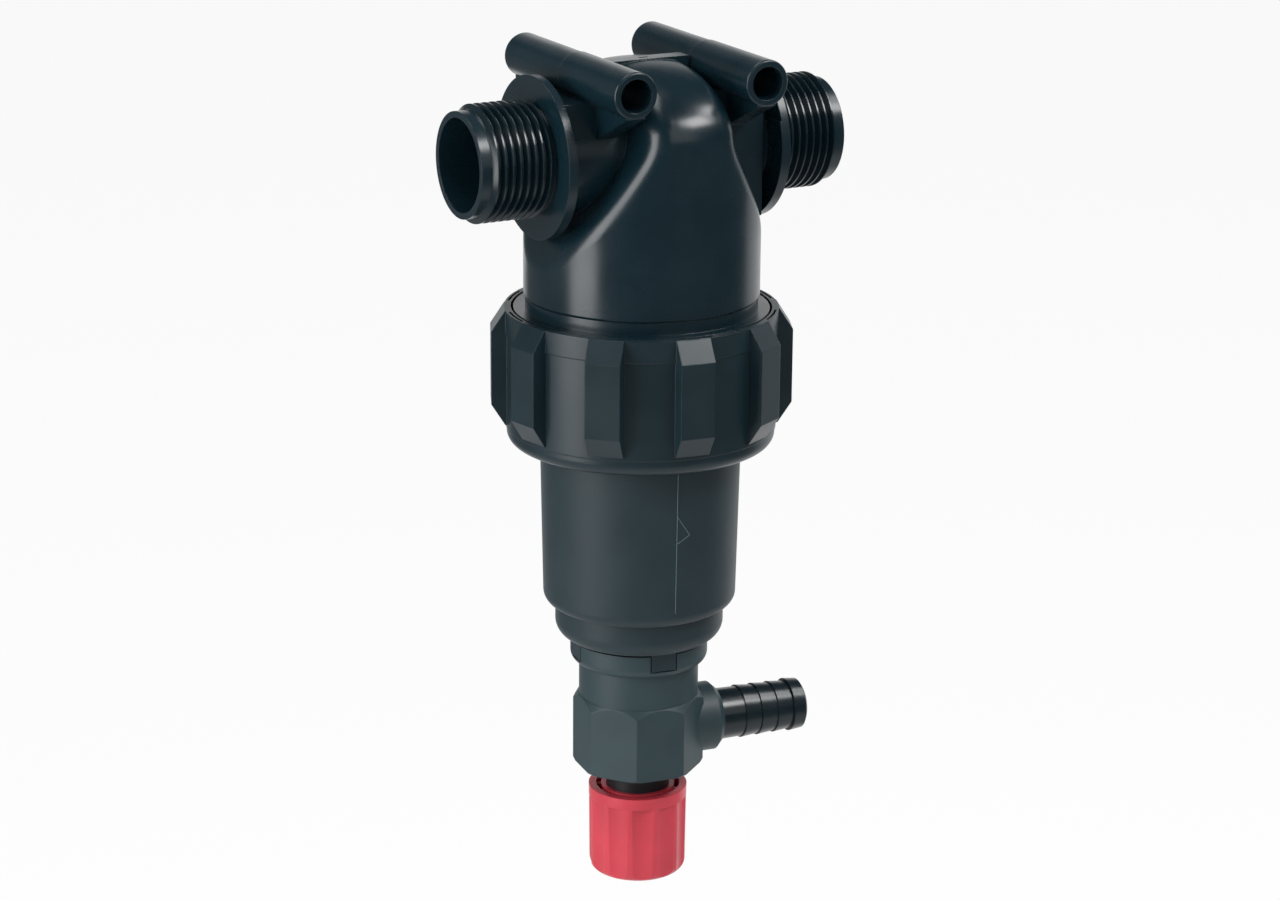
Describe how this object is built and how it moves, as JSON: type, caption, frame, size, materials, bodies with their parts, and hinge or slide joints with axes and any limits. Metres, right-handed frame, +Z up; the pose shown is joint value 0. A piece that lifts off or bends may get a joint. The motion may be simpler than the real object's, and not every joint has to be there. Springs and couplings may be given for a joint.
{
  "type": "self-cleaning inline filter",
  "caption": "Inline water filter: domed head with opposed threaded ports and cross bolt tubes, ribbed ring nut, tapered bowl, and flush valve with hose tail and knob.",
  "frame": {"origin": "on the body axis, midway along the two bolt tubes and at the height of their axes", "axes": "+X towards the outlet port, along the pipe; +Y along the bolt tubes, towards the back; +Z up the body axis"},
  "size_m": [0.115, 0.0872, 0.2496],
  "materials": {
    "head_plastic": "smooth satin-gloss, dark slate blue glass-filled nylon",
    "nut_plastic": "fine matt moulded texture, dark slate blue glass-filled nylon",
    "bowl_plastic": "fine matt moulded texture, dark slate blue glass-filled nylon",
    "valve_plastic": "satin moulded, dark slate blue glass-filled nylon",
    "tail_plastic": "glossy moulded polypropylene, dark slate blue",
    "knob_plastic": "slightly translucent satin red polyamide",
    "inner_plastic": "moulded black polypropylene",
    "mesh_steel": "woven stainless mesh",
    "screw_steel": "plain stainless steel",
    "seal_rubber": "moulded nitrile rubber"
  },
  "bodies": {
    "head": {"filter_head": "head_plastic", "head_skirt": "head_plastic", "inlet_port": "head_plastic", "outlet_duct": "head_plastic", "outlet_port": "head_plastic", "left_bolt_tube": "head_plastic", "right_bolt_tube": "head_plastic"},
    "bowl": {"bowl": "bowl_plastic", "bowl_o_ring": "seal_rubber", "cartridge_frame": "inner_plastic", "cartridge_mesh": "mesh_steel", "cartridge_top_gasket": "seal_rubber", "cartridge_bottom_gasket": "seal_rubber", "valve_body": "valve_plastic", "valve_body_o_ring": "seal_rubber", "valve_lock_nut": "inner_plastic", "hose_tail": "tail_plastic", "hose_tail_o_ring": "seal_rubber", "valve_bonnet": "valve_plastic", "bonnet_o_ring": "seal_rubber", "stem_o_ring": "seal_rubber"},
    "ring_nut": {"ring_nut": "nut_plastic"},
    "stem": {"valve_stem": "inner_plastic", "plug_seal": "seal_rubber", "plug_screw": "screw_steel", "knob_washer": "screw_steel", "knob_screw": "screw_steel"},
    "knob": {"knob": "knob_plastic"}
  },
  "joints": [
    {"name": "bowl_lower", "type": "slide", "parent": "head", "child": "bowl", "axis": [0, 0, -1], "range_m": [0, 0.012]},
    {"name": "nut_turn", "type": "hinge", "parent": "bowl", "child": "ring_nut", "pos_m": [0, 0, -0.0887], "axis": [0, 0, -1], "range_deg": [0, 1440]},
    {"name": "stem_travel", "type": "slide", "parent": "bowl", "child": "stem", "axis": [0, 0, -1], "range_m": [0, 0.006]},
    {"name": "knob_turn", "type": "hinge", "parent": "stem", "child": "knob", "pos_m": [0, 0, -0.2292], "axis": [0, 0, -1], "range_deg": [0, 720]}
  ],
  "couplings": [
    {"joint": "bowl_lower", "follows": "nut_turn", "m_per_rad": 0.00047746},
    {"joint": "stem_travel", "follows": "knob_turn", "m_per_rad": 0.00047746}
  ]
}
